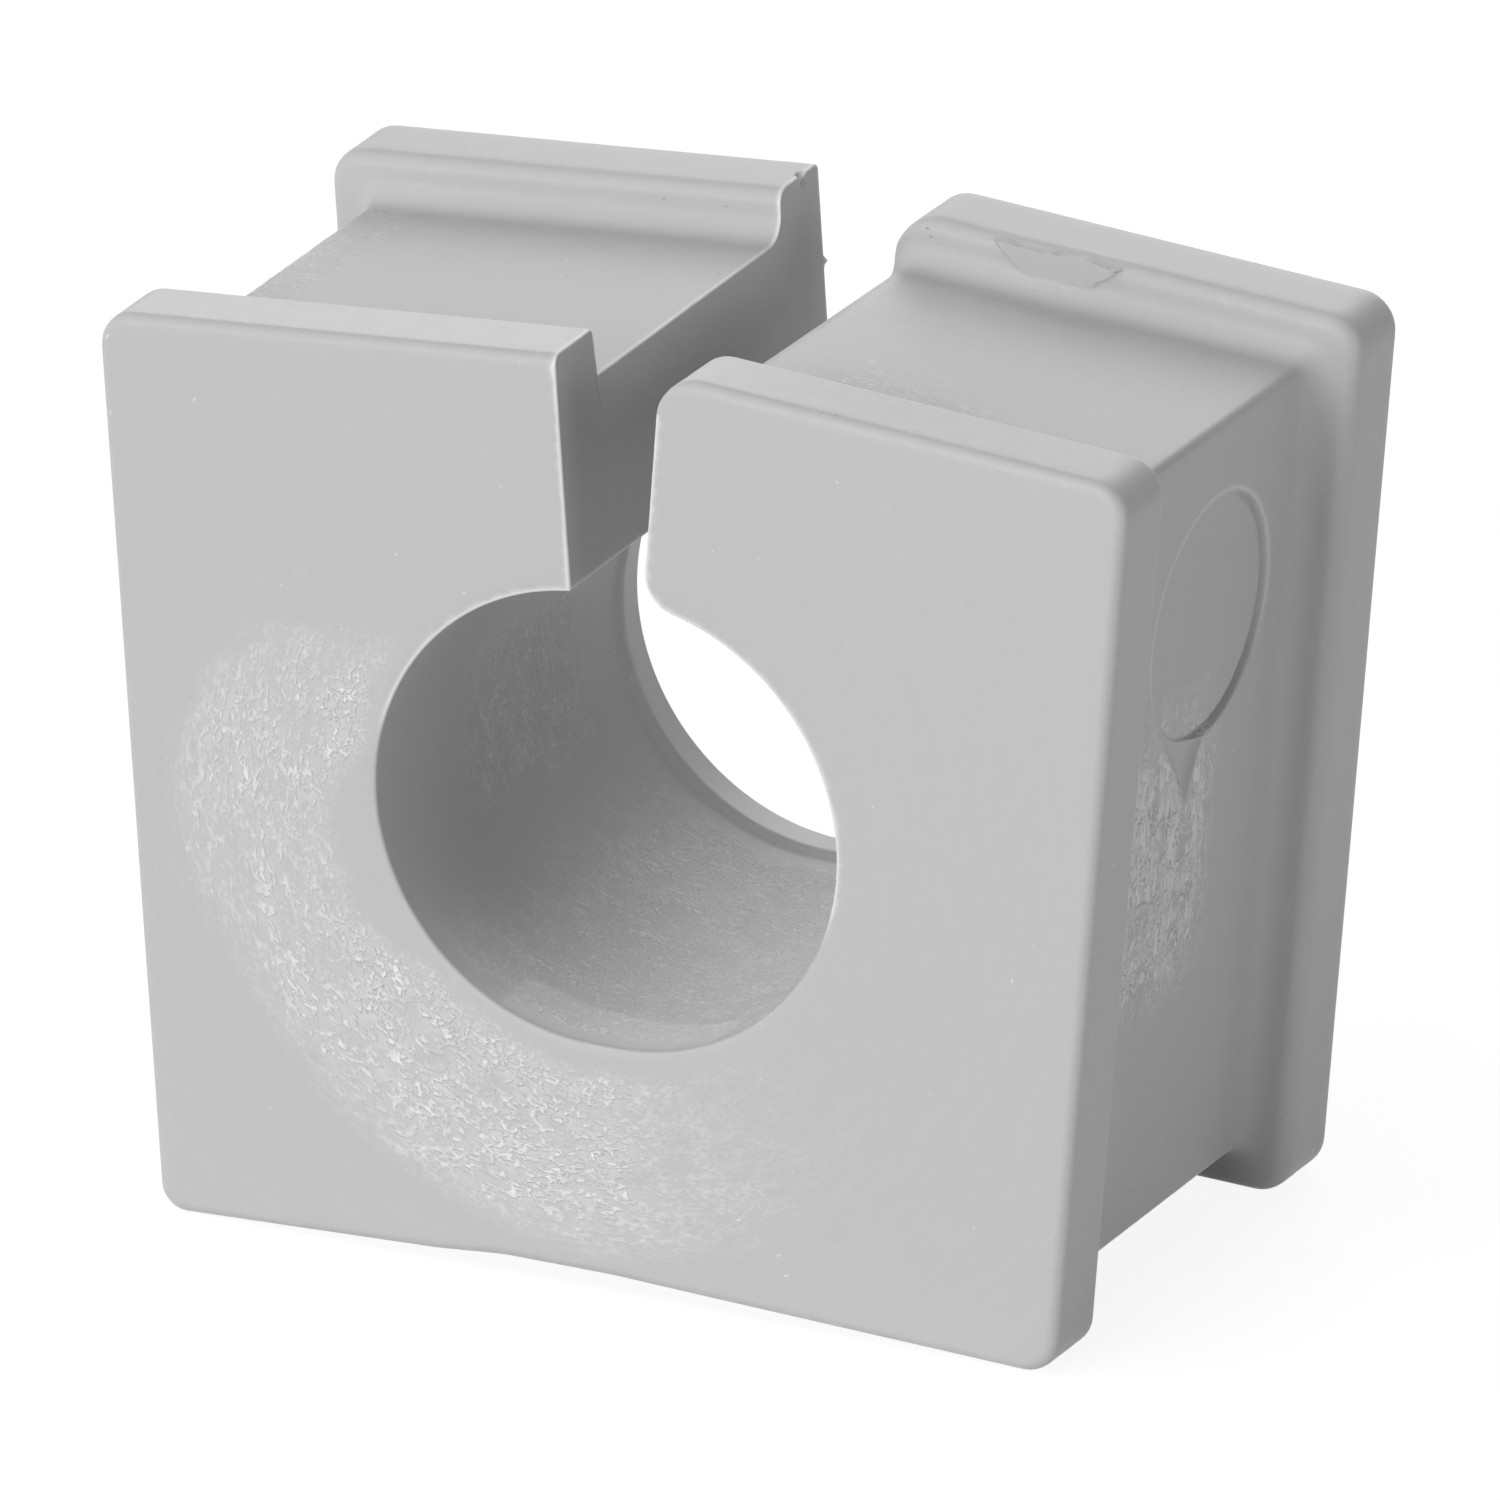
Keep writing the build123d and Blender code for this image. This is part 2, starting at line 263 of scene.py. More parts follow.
def depth_profile():
    """The section of the block along its depth: rows of place, drop of the outer side and how
    much the row is part of a sharp edge."""
    rows = [(FRONT_Y + FRONT_RIM * (1 - math.cos(a)), FRONT_RIM * (1 - math.sin(a)), 0)
            for a in quarter(RIM_STEPS)]
    place, drop, _ = rows[PARTING_ROW]
    rows[PARTING_ROW] = (place, drop + PARTING_LINE, 0)
    rear = GROOVE_FRONT - ARRIS
    top = np.linspace(FRONT_Y + FRONT_RIM, rear - ARRIS_SIDE, steps_for(FRONT_FLANGE))
    rows += [(y, 0.0, 0) for y in top[1:]]
    rows += [(rear, 0.0, 1), (GROOVE_FRONT, ARRIS, 1)]
    foot = GROOVE_DEPTH - 2 * ARRIS
    rows += [(GROOVE_FRONT, drop, 0) for drop in np.linspace(ARRIS + ARRIS_SIDE, foot, 4)]
    fillet_start = GROOVE_BACK - ROOT
    waist_steps = steps_for(fillet_start - GROOVE_FRONT)
    waist = np.linspace(GROOVE_FRONT + 2 * ARRIS, fillet_start, waist_steps)
    rows += [(y, GROOVE_DEPTH, 0) for y in waist]
    rows += [(fillet_start + ROOT * math.sin(a), GROOVE_DEPTH - ROOT * (1 - math.cos(a)), 0)
             for a in quarter(RIM_STEPS)[1:]]
    rows += [(GROOVE_BACK + INNER_RIM * (1 - math.cos(a)), INNER_RIM * (1 - math.sin(a)), 0)
             for a in quarter(INNER_STEPS)]
    top_steps = steps_for(BACK_FLANGE - INNER_RIM)
    top = np.linspace(GROOVE_BACK + INNER_RIM, BACK_Y - BACK_RIM, top_steps)
    rows += [(y, 0.0, 0) for y in top[1:]]
    rows += [(BACK_Y - BACK_RIM * (1 - math.sin(a)), BACK_RIM * (1 - math.cos(a)), 0)
             for a in quarter(BACK_STEPS)[1:]]
    return np.array(rows)


def inner_profile(rings):
    """Place, offset and radius of the bore wall for each ring, with soft arrises and the lip."""
    front = [(FRONT_Y + ARRIS * (1 - math.cos(a)), ARRIS * (1 - math.sin(a)))
             for a in quarter(ARRIS_STEPS)]
    front.append((FRONT_Y + ARRIS + ARRIS_SIDE, 0.0))
    back = [(BACK_Y - y + FRONT_Y, offset) for y, offset in reversed(front)]
    ramp = np.linspace(LIP_START, LIP_CREST, 3)
    lip = np.linspace(LIP_CREST, back[0][0], 7)[1:-1]
    main = rings - len(front) - len(back) - len(ramp) - len(lip)
    places = np.linspace(front[-1][0], LIP_START, main + 2)[1:-1]
    ys = np.concatenate([[y for y, _ in front], places, ramp, lip, [y for y, _ in back]])
    plain = np.zeros(rings - len(front) - len(back))
    offsets = np.concatenate([[o for _, o in front], plain, [o for _, o in back]])
    radii = np.interp(ys, [LIP_START, LIP_CREST, BACK_Y],
                      [BORE_RADIUS, BORE_RADIUS - LIP_STEP, BORE_RADIUS + LIP_FLARE])
    return ys, offsets, radii


def corner_radius(drop, back):
    """Rounding of the outer corners at a drop below the flanges."""
    soft = (ROOT if back else 2 * ARRIS) + WAIST_CORNER
    turn = GROOVE_DEPTH - (ROOT if back else 2 * ARRIS)
    return float(np.interp(drop, [0, INNER_RIM, turn, GROOVE_DEPTH],
                           [CORNER, CORNER - INNER_RIM, soft, WAIST_CORNER]))


def worn(points, side):
    """How much softer than elsewhere the front edge of the bore is at each point."""
    angle = np.degrees(np.arctan2(-side * points[:, 0], BORE_Z - points[:, 1]))
    return 1 + (WORN_ARRIS - 1) * span(WORN_FROM, WORN_TO, angle)


def wall_points():
    """The whole side wall as rings of points, outside, slit and bore in one closed loop, and how
    much each point is part of a sharp edge."""
    outer = depth_profile()
    ys, offsets, radii = inner_profile(len(outer))
    rings, sharp = [], []
    for (y, drop, edge), y_in, offset, radius in zip(outer, ys, offsets, radii):
        halves, edges = [], []
        for side in (RIGHT, LEFT):
            args = (offset, radius, corner_radius(drop, y > 0))
            points, names = half_ring(side, y, drop + SKIN_INSET, *args)
            inner, _ = half_ring(side, y_in, drop + SKIN_INSET, *args)
            share = np.array([float(name in ("mouth", "bore", "floor")) for name in names])
            slit = np.flatnonzero(names == "slit")
            share[slit] = np.linspace(0, 1, len(slit), endpoint=False)
            depth = y * (1 - share) + y_in * share
            flat = points * (1 - share[:, None]) + inner * share[:, None]
            if y_in < FRONT_Y + 2 * ARRIS:
                wear = np.where(names == "bore", worn(flat, side), 1)[:, None]
                centre = BORE_CENTRE + [SPLAY_SLOPE * y, 0]
                flat += (wear - 1) * offset * (flat - centre) / BORE_RADIUS
                depth += (wear[:, 0] - 1) * (y_in - FRONT_Y) * share
            ends = abs(y_in) > BACK_Y - 1.5 * ARRIS
            inside_edge = np.isin(names, ("slit", "mouth", "bore", "floor")) * float(ends)
            inside_edge *= (WORN_ARRIS - worn(flat, side)) / (WORN_ARRIS - 1) if y < 0 else 1
            ridge = np.isin(names, ("slit_top", "mouth")) * float(side == LEFT)
            edges.append(np.maximum.reduce([np.isin(names, OUTER) * edge, inside_edge, ridge]))
            halves.append(np.stack([side * flat[:, 0], depth, flat[:, 1]], axis=1))
        rings.append(np.vstack([halves[0], halves[1][::-1][1:-1]]))
        sharp.append(np.concatenate([edges[0], edges[1][::-1][1:-1]]))
    rings = np.array(rings)
    rings[:, :, 1] *= 1 - SKIN_INSET / BACK_Y
    return rings, np.array(sharp)


def inside(points, ring):
    """Which points lie inside a closed ring."""
    x, z = points[:, 0][:, None], points[:, 1][:, None]
    a, b = ring, np.roll(ring, -1, axis=0)
    spans = (a[:, 1] > z) != (b[:, 1] > z)
    rise = np.where(b[:, 1] == a[:, 1], TINY, b[:, 1] - a[:, 1])
    cross = a[:, 0] + (z - a[:, 1]) * (b[:, 0] - a[:, 0]) / rise
    return (spans & (x < cross)).sum(axis=1) % 2 == 1


def face_fill(ring):
    """Points and triangles that fill a flat end face inside its ring, evenly spaced."""
    flat = ring[:, [0, 2]].astype(np.float32).astype(float)
    low, high = flat.min(0), flat.max(0)
    rows = np.arange(low[1], high[1], SPACING * ROW_PITCH)
    grid = [(x + (i % 2) * SPACING / 2, z) for i, z in enumerate(rows)
            for x in np.arange(low[0], high[0], SPACING * COLUMN_PITCH)]
    grid = np.array(grid)
    grid = grid[inside(grid, flat)]
    tree = kdtree.KDTree(len(flat))
    for i, point in enumerate(flat):
        tree.insert((*point, 0), i)
    tree.balance()
    clear = np.array([tree.find((*point, 0))[2] > EDGE_CLEARANCE * SPACING for point in grid])
    grid = grid[clear]
    points = np.vstack([flat, grid])
    edges = [(i, (i + 1) % len(flat)) for i in range(len(flat))]
    made = delaunay_2d_cdt([Vector(point) for point in points], edges, [], 0, WELD, True)
    triangles = np.array([[made[3][i][0] for i in face] for face in made[2]])
    return grid, triangles[inside(points[triangles].mean(axis=1), flat)]


def skin_mesh():
    """Points and faces of the grommet's whole surface, in millimetres, and its sharp edges."""
    rings, sharp = wall_points()
    depth, around = rings.shape[:2]
    index = np.arange(depth * around).reshape(depth, around)
    following = np.roll(index, -1, axis=1)
    quads = np.stack([index[:-1], index[1:], following[1:], following[:-1]], axis=-1)
    faces = quads.reshape(-1, 4).tolist()
    points, edges = [rings.reshape(-1, 3)], [sharp.ravel()]
    total = depth * around
    for row in (0, depth - 1):
        ring = rings[row]
        grid, triangles = face_fill(ring)
        places = np.concatenate([index[row], total + np.arange(len(grid))])
        total += len(grid)
        points.append(np.stack([grid[:, 0], np.full(len(grid), ring[0, 1]), grid[:, 1]], axis=1))
        edges.append(np.zeros(len(grid)))
        turned = triangles[:, ::-1] if row else triangles
        faces += places[turned].tolist()
    return np.vstack(points), faces, np.concatenate(edges)


def flow(points):
    """Angle round the bore, from straight down towards the left half, and distance from its
    axis. The melt flowed round the bore core, so the marks that it left lie along the angle."""
    x, z = points[:, 0], points[:, 2] - BORE_Z
    return np.arctan2(-x, -z), np.hypot(x, z)


def waist_place(points):
    """Places on the right side of the waist: along the depth, drop from the upper corner, and
    distance out from the surface."""
    offset = points[:, [0, 2]] - UPPER_CORNER - np.outer(SPLAY_SLOPE * points[:, 1], [1, 0])
    return points[:, 1], -offset @ UP, offset @ OUT + GROOVE_DEPTH + SKIN_INSET


def on_waist_side(points):
    y, _, out = waist_place(points)
    return (np.abs(out) < WAIST_ZONE) & (y > GROOVE_FRONT) & (y < GROOVE_BACK - ROOT)


def disc_reach(points):
    y, drop, _ = waist_place(points)
    return np.hypot(y - DISC_BACK, drop - DISC_DROP)


def dip_reach(points):
    """Distance into the dip from its nearest edge, negative outside it."""
    y, drop, _ = waist_place(points)
    reach = np.full(len(points), np.inf)
    for (y0, drop0), (y1, drop1) in zip(DIP_CORNERS, DIP_CORNERS[1:] + DIP_CORNERS[:1]):
        run, fall = y1 - y0, drop1 - drop0
        distance = ((drop - drop0) * run - (y - y0) * fall) / math.hypot(run, fall)
        reach = np.minimum(reach, distance)
    return reach


def gate_reach(points):
    """Distance into the half moon of the gate mark, negative outside it."""
    centre = UPPER_CORNER - GATE_REACH * OUT + (GATE_RADIUS - GATE_DROP) * UP
    x = points[:, 0] - SPLAY_SLOPE * points[:, 1] - centre[0]
    below = -(points[:, [0, 2]] - UPPER_CORNER) @ UP - GATE_INSET
    reach = np.minimum(GATE_RADIUS - np.hypot(x, points[:, 2] - centre[1]), below)
    return np.where(np.abs(points[:, 1] - GROOVE_BACK) < ROOT, reach, -np.inf)


def nick_place():
    edge = SLIT_TOP + [SPLAY_SLOPE * NICK_Y, 0]
    return np.array([-edge[0], NICK_Y, edge[1]])


def nib_place():
    edge = SLIT_TOP + [SPLAY_SLOPE * BACK_Y, 0] - NIB_DROP * UP
    return np.array([-edge[0], BACK_Y, edge[1]])


def near(points, place, reach):
    return np.linalg.norm(points - place, axis=1) < reach


# Where the surface crinkled. Each pair of places is the slope at one end of a patch, in
# millimetres, or in degrees round the bore from straight down towards the left half
FRONT_START, FRONT_END = (10.7, 12.2), (17.2, 20.0)
FRONT_ARC = (-50, -28, -13, 5, 48, 66, 80, 92, 106, 120)
FRONT_STRENGTH = (0, 0.1, 0.35, 1, 1, 0.7, 0.65, 0.85, 0.8, 0)
LATE_START, LATE_FROM, LATE_TO = 1.6, (42, 62), (82, 100)
LATE_END, BULGE_FROM, BULGE_TO = 0.9, (55, 75), (85, 100)
SLANT, SLANT_FROM, SLANT_MIDDLE = 2.5, (85, 95), 14
SIDE_LOW, SIDE_HIGH, SIDE_BACK = (11.5, 15.5), (21.5, 25.0), (1.0, 3.4)
SIDE_TAIL, SIDE_TAIL_HIGH, DIP_SHORE = 0.2, (25.2, 27.0), (-0.35, 0.05)
WALL_ARC, WALL_DEPTH = ((60, 75), (98, 110)), ((-6, -3), (4, 8))
FLOOR_ARC, FLOOR_BACK = ((-70, -50), (20, 60)), (8, 10)
EDGE_ACROSS, EDGE_LOWEST = (18.4, 19.8), 36
TOP_ACROSS, TOP_BACK, TOP_REACH = ((4, 7), (11, 15)), (-6, -1), 13
SIDE_SHARE, BORE_SHARE, EDGE_SHARE, TOP_SHARE = 2.8, 0.6, 0.3, 0.3


def crinkled_front(points, angle, reach):
    """The sickle on the front face, from under the bore round to its left."""
    starts = reach - LATE_START * span(LATE_FROM, LATE_TO, angle)
    ends = reach - LATE_END * span(BULGE_FROM, BULGE_TO, angle)
    turned = angle + SLANT * smooth(*SLANT_FROM, angle) * (reach - SLANT_MIDDLE)
    front = (points[:, 1] < FRONT_Y + FRONT_RIM) * smooth(*FRONT_START, starts)
    return front * (1 - smooth(*FRONT_END, ends)) * np.interp(turned, FRONT_ARC, FRONT_STRENGTH)


def crinkled_side(points):
    """The patch on the right side of the waist, round the dip and below it."""
    y, z = points[:, 1], points[:, 2]
    fade = smooth(*SIDE_HIGH, z)
    side = on_waist_side(points) * smooth(*SIDE_LOW, z) * (1 - smooth(*SIDE_BACK, y))
    side *= 1 - fade + SIDE_TAIL * fade * (1 - smooth(*SIDE_TAIL_HIGH, z))
    return side * (1 - smooth(*DIP_SHORE, dip_reach(points)))


def crinkled_bore(points, angle, reach):
    """The patches at the left and on the floor of the bore."""
    y = points[:, 1]
    wall = (np.abs(reach - BORE_RADIUS) < 1) * (np.abs(y) < BACK_Y - 1)
    left = span(*WALL_ARC, angle) * span(*WALL_DEPTH, y)
    return wall * (left + span(*FLOOR_ARC, angle) * (1 - smooth(*FLOOR_BACK, y)))


def crinkled(points):
    """How strongly the surface crinkled as it cooled."""
    angle, reach = flow(points)
    angle = np.degrees(angle)
    x, y, z = points.T
    edge = smooth(*EDGE_ACROSS, -x) * (z > EDGE_LOWEST)
    edge *= (y > GROOVE_FRONT) * (y < GROOVE_BACK - ROOT)
    top = (np.abs(z - SLIT_TOP[1] + GROOVE_DEPTH) < 2) * (reach > TOP_REACH)
    top = top * (np.abs(y) < GROOVE_BACK - ROOT) * span(*TOP_ACROSS, x) * (1 - smooth(*TOP_BACK, y))
    return np.maximum.reduce([
        crinkled_front(points, angle, reach), SIDE_SHARE * crinkled_side(points),
        BORE_SHARE * crinkled_bore(points, angle, reach), EDGE_SHARE * edge, TOP_SHARE * top])


def crinkled_or_marked(points):
    off_bore = np.abs(flow(points)[1] - BORE_RADIUS) > 1
    marked = (disc_reach(points) < DISC_RADIUS + DISC_ZONE) | (dip_reach(points) > -DIP_ZONE)
    return (crinkled(points) * off_bore > CRINKLED_ZONE) | on_waist_side(points) & marked


def by_disc_edge(points):
    return on_waist_side(points) & (np.abs(disc_reach(points) - DISC_RADIUS) < SPACING / 2)


def in_disc_trench(points):
    reach = disc_reach(points) - DISC_RADIUS + TRENCH_ZONE
    return on_waist_side(points) & (np.abs(reach) < SPACING / 2)


def by_dip_edge(points):
    return on_waist_side(points) & (np.abs(dip_reach(points)) < SPACING / 2)


def on_gate(points):
    return gate_reach(points) > -SPACING


def by_gate_edge(points):
    return np.abs(gate_reach(points)) < SPACING / 2


def round_nick(points):
    return near(points, nick_place(), NICK_ZONE)


def at_nick_and_nib(points):
    at_nick = near(points, nick_place(), NICK_INNER_ZONE)
    return at_nick | near(points, nib_place(), NIB_ZONE)


ZONES = (crinkled_or_marked, by_disc_edge, in_disc_trench, by_dip_edge, on_gate, by_gate_edge,
         round_nick, at_nick_and_nib)


def once(items):
    """The items without repeats, in the order in which they come."""
    return list(dict.fromkeys(items))


def refine(mesh):
    """Splits the faces whose middle lies in a zone, once for each zone."""
    shape = bmesh.new()
    shape.from_mesh(mesh)
    thin = [face for face in shape.faces if face.calc_area() < SLIVER * MM ** 2]
    beside = once(other for face in thin for edge in face.edges for other in edge.link_faces)
    flat = [face for face in beside if abs(face.normal.y) > FACING]
    inner = [edge for edge in once(edge for face in flat for edge in face.edges)
             if abs(edge.calc_face_angle(1.0)) < FLAT_ANGLE]
    bmesh.ops.beautify_fill(shape, faces=flat, edges=inner, method="ANGLE")
    for zone in ZONES:
        shape.faces.ensure_lookup_table()
        middles = np.array([face.calc_center_median() for face in shape.faces]) / MM
        edges = once(edge for i in np.flatnonzero(zone(middles)) for edge in shape.faces[i].edges)
        bmesh.ops.subdivide_edges(shape, edges=edges, cuts=1, use_grid_fill=True)
    shape.to_mesh(mesh)
    shape.free()


def noise_at(places):
    return np.array([noise.fractal(place, *FRACTAL) for place in places.tolist()])


def step_depth(reach, finest):
    """One well inside an edge, nought outside it, with an even slope of width finest across the
    edge.
    """
    return np.clip(reach / finest + 0.5, 0, 1)


def disc_and_dip(points, crease, sizes):
    """How deep each point lies in the disc with its trench or in the dip, whichever is deeper."""
    into_disc = DISC_RADIUS - disc_reach(points)
    y, drop, _ = waist_place(points)
    disc = step_depth(into_disc, STEP_WIDTH) * sizes.disc_depth / MM
    rear = smooth(*TRENCH_FADE, y - DISC_BACK + (drop - DISC_DROP) / 2)
    trench = np.exp(-((into_disc - TRENCH_WIDTH) / TRENCH_WIDTH) ** 2) * (into_disc > 0)
    dip = smooth(*DIP_SLOPE, dip_reach(points) + RAGGED_DIP * crease) * sizes.dip_depth / MM
    return on_waist_side(points) * np.maximum(disc + rear * TRENCH_DEPTH * trench, dip)


def painted_highlight_and_sheen(points, normals):
    """How strongly each point carries the painted highlight round the disc's edge and the painted
    sheen on top of the front flange.
    """
    y, drop, _ = waist_place(points)
    into_disc = DISC_RADIUS - disc_reach(points)
    # Painted highlight along the disc's edge, fading out below its middle
    rim = np.clip(1 - np.abs(into_disc + HIGHLIGHT_WIDTH / 2) / HIGHLIGHT_WIDTH, 0, 1)
    rim *= on_waist_side(points) * (1 - smooth(*HIGHLIGHT_FADE, drop - DISC_DROP))
    # Painted sheen on the upward faces of the front flange's top, fading out towards the right
    top = (y > FRONT_Y + FRONT_RIM - ARRIS) * (y < GROOVE_FRONT) * (normals[:, 2] > UPWARD)
    return rim + TOP_SHEEN * top * (1 - smooth(0, TOP_SHEEN_REACH, points[:, 0]))


def relief(points, normals, sizes):
    """Where each point lies once the mould's marks and the crinkling are in the surface, how
    strongly it crinkled, and how strongly it carries the painted highlight round the disc and the
    painted sheen on the front flange's top."""
    angle, reach = flow(points)
    y = points[:, 1]
    crinkle = crinkled(points)
    round_bore = angle * CREASE_RADIUS
    crease = noise_at(np.stack(
        [round_bore / CREASE_LENGTH, reach / CREASE_WIDTH, y / CREASE_WIDTH], axis=1))
    streak = noise_at(np.stack(
        [round_bore / STREAK_LENGTH, y / STREAK_WIDTH, reach / STREAK_LENGTH], axis=1))
    outside = (reach > BORE_RADIUS + 2) & (np.abs(y) < BACK_Y - ARRIS / 2)
    height = crinkle * (crease - CREASE_MEAN) * sizes.crinkle / MM
    height += outside * (streak - 1) * STREAK_HEIGHT / 2
    height -= disc_and_dip(points, crease, sizes)
    moved = points + normals * height[:, None]
    gate = gate_reach(points) + RAGGED_GATE * crease > 0
    gate_face = np.minimum(moved[:, 1], GROOVE_BACK - sizes.gate_height / MM)
    moved[:, 1] = np.where(gate, gate_face, moved[:, 1])
    from_nick = np.linalg.norm((points - nick_place()) * NICK_STRETCH, axis=1)
    nick = 1 - smooth(ARRIS, NICK_LENGTH, from_nick)
    moved[:, 2] -= nick * NICK_LENGTH
    moved[:, 0] -= nick * NICK_LENGTH / 2
    nib = 1 - smooth(0, NIB_LENGTH, np.linalg.norm(points - nib_place(), axis=1))
    moved[:, 0] += nib * NIB_LENGTH
    return moved, crinkle, painted_highlight_and_sheen(points, normals)


def new_mesh(name, points, faces):
    mesh = bpy.data.meshes.new(name)
    mesh.from_pydata((points * MM).tolist(), [], faces)
    piece = bpy.data.objects.new(name, mesh)
    bpy.context.scene.collection.objects.link(piece)
    return piece


def read_vectors(collection, name):
    values = np.empty(len(collection) * 3)
    collection.foreach_get(name, values)
    return values.reshape(-1, 3)


def build_skin(sizes):
    """The grommet's skin as one closed mesh, with its crinkling and sharp edges as attributes."""
    points, faces, sharp = skin_mesh()
    piece = new_mesh("grommet_skin", points, faces)
    mesh = piece.data
    # Sharp edges, which the finish paints with a pale line that is partly stress whitening and
    # partly a painted highlight
    mesh.attributes.new("sharp_rim", "FLOAT", "POINT").data.foreach_set("value", sharp)
    refine(mesh)
    points = read_vectors(mesh.vertices, "co") / MM
    moved, crinkle, rim = relief(points, read_vectors(mesh.vertices, "normal"), sizes)
    mesh.vertices.foreach_set("co", (moved * MM).ravel())
    mesh.attributes.new("crinkle", "FLOAT", "POINT").data.foreach_set("value", crinkle)
    # The painted highlight round the disc and the painted sheen on the front flange's top
    mesh.attributes.new("painted_highlight_share", "FLOAT", "POINT").data.foreach_set("value", rim)
    mesh.shade_smooth()
    mesh.set_sharp_from_angle(angle=math.radians(SHARP_ANGLE))
    weighting = piece.modifiers.new("weighted_normals", "WEIGHTED_NORMAL")
    weighting.keep_sharp = True
    mesh.update()
    return piece


class Measure:
    """A number that varies over a surface, so that shader maths reads as arithmetic."""

    def __init__(self, finish, socket):
        self.finish = finish
        self.socket = socket

    def math(self, operation, *values):
        return self.finish.node("ShaderNodeMath", {"operation": operation}, dict(enumerate(values)))

    def __add__(self, other):
        return self.math("ADD", self, other)

    def __sub__(self, other):
        return self.math("SUBTRACT", self, other)

    def __rsub__(self, other):
        return self.math("SUBTRACT", other, self)

    def __mul__(self, other):
        return self.math("MULTIPLY", self, other)

    def __neg__(self):
        return self.math("MULTIPLY", self, -1)

    def __pow__(self, other):
        return self.math("POWER", self, other)

    def __gt__(self, other):
        return self.math("GREATER_THAN", self, other)

    __radd__ = __add__
    __rmul__ = __mul__

    def between(self, low, high):
        """Nought below low, one above high, with a smooth slope between."""
        settings = {"interpolation_type": "SMOOTHSTEP"}
        return self.finish.node("ShaderNodeMapRange", settings, {0: self, 1: low, 2: high})


class Finish:
    """The nodes of a material or a world under construction."""

    def __init__(self, owner):
        owner.use_nodes = True
        self.tree = owner.node_tree
        self.tree.nodes.clear()

    def node(self, kind, settings=None, inputs=None, output=0):
        """Adds one node, its settings first, then the values or links of its sockets."""
        made = self.tree.nodes.new(kind)
        for name, value in (settings or {}).items():
            setattr(made, name, value)
        for key, value in (inputs or {}).items():
            if isinstance(value, Measure):
                self.tree.links.new(value.socket, made.inputs[key])
            else:
                made.inputs[key].default_value = value
        return Measure(self, made.outputs[output]) if made.outputs else made

    def mix(self, share, a, b):
        """A colour that goes from a to b with share."""
        return self.node("ShaderNodeMix", {"data_type": "RGBA"}, {0: share, 6: a, 7: b}, 2)

    def attribute(self, name):
        return self.node("ShaderNodeAttribute", {"attribute_name": name}, None, "Fac")

    def parts(self, vector):
        """The three numbers of a vector."""
        return [self.node("ShaderNodeSeparateXYZ", None, {0: vector}, i) for i in range(3)]

    def vector(self, x, y, z):
        return self.node("ShaderNodeCombineXYZ", None, {0: x, 1: y, 2: z})

    def noise(self, place, scale, detail, roughness=0.6):
        inputs = {"Vector": place, "Scale": scale, "Detail": detail, "Roughness": roughness}
        return self.node("ShaderNodeTexNoise", None, inputs)

    def cells(self, place, scale):
        """Distance from the nearest of some scattered points, and a number drawn for that point."""
        settings = {"feature": "F1"}
        inputs = {"Vector": place, "Scale": scale}
        distance = self.node("ShaderNodeTexVoronoi", settings, inputs, "Distance")
        drawn = self.node("ShaderNodeTexVoronoi", settings, inputs, "Color")
        return distance, self.parts(drawn)


# The finish: how the melt's flow stretched its marks, how many of each kind lie along a
# millimetre, the bands of noise that count as a mark, and the sizes of flecks and pits
FLOW_RADIUS, FLOW_SHORTENING = 15.0, 0.6
STREAK_ALONG, STREAK_ACROSS = 0.15, 1.8
CREASES, GRAINS, CLUSTERS, MOTTLES, CELLS = 1.9, 5.5, 0.8, 1.6, 3.4
WORM_BAND, WORM_GRAIN, CLUSTER_BAND = (0.8, 0.96), (0.36, 0.56), (0.25, 0.75)
TORN_LEAST, TORN_MORE, RAW_FROM, TORN_HIGHEST = 0.4, 1.2, 1.5, 1.4
FLECK_BAR, FLECK_CORE, FLECK_MORE = 0.982, (0.08, 0.14), 0.18
PIT_BAR, PIT_CORE, PIT_SHARE = 0.997, (0.08, 0.25), 0.6

# How much each mark whitens the surface or paints light onto it, and its height in millimetres:
# edge is a pale line along sharp edges, partly stress whitening and partly a painted highlight,
# and rim is the painted highlight round the disc with the painted sheen on the front flange's top
WHITENING_AND_HIGHLIGHTS = {"torn": 0.26, "worm": 0.6, "raw": 0.6, "edge": 0.8, "rim": 0.5, "fleck": 0.25,
         "fleck_tone": 0.6, "streak": 0.07, "mottle": 0.12, "grain": 0.1}
EDGE_FALL = 5                 # how fast the pale line beside a sharp edge fades, which is partly stress whitening and partly a painted highlight
HEIGHT = {"worm": 0.055, "grain": 0.025, "fleck": 0.02, "skin": 0.0025}
ROUGHNESS, CRINKLE_ROUGHER, FLECK_SMOOTHER, IOR = 0.5, 0.1, 0.1, 1.45


def flow_place(finish):
    """Place measured as the melt flowed, in millimetres: shortened along the flow round the
    bore, then away from the bore's axis, then along the depth."""
    x, y, z = finish.parts(finish.node("ShaderNodeTexCoord", None, None, "Object"))
    rise = z - BORE_Z * MM
    angle = (-x).math("ARCTAN2", -x, -rise)
    reach = (x * x + rise * rise) ** 0.5
    return angle * (FLOW_RADIUS * FLOW_SHORTENING), reach * (1 / MM), y * (1 / MM)


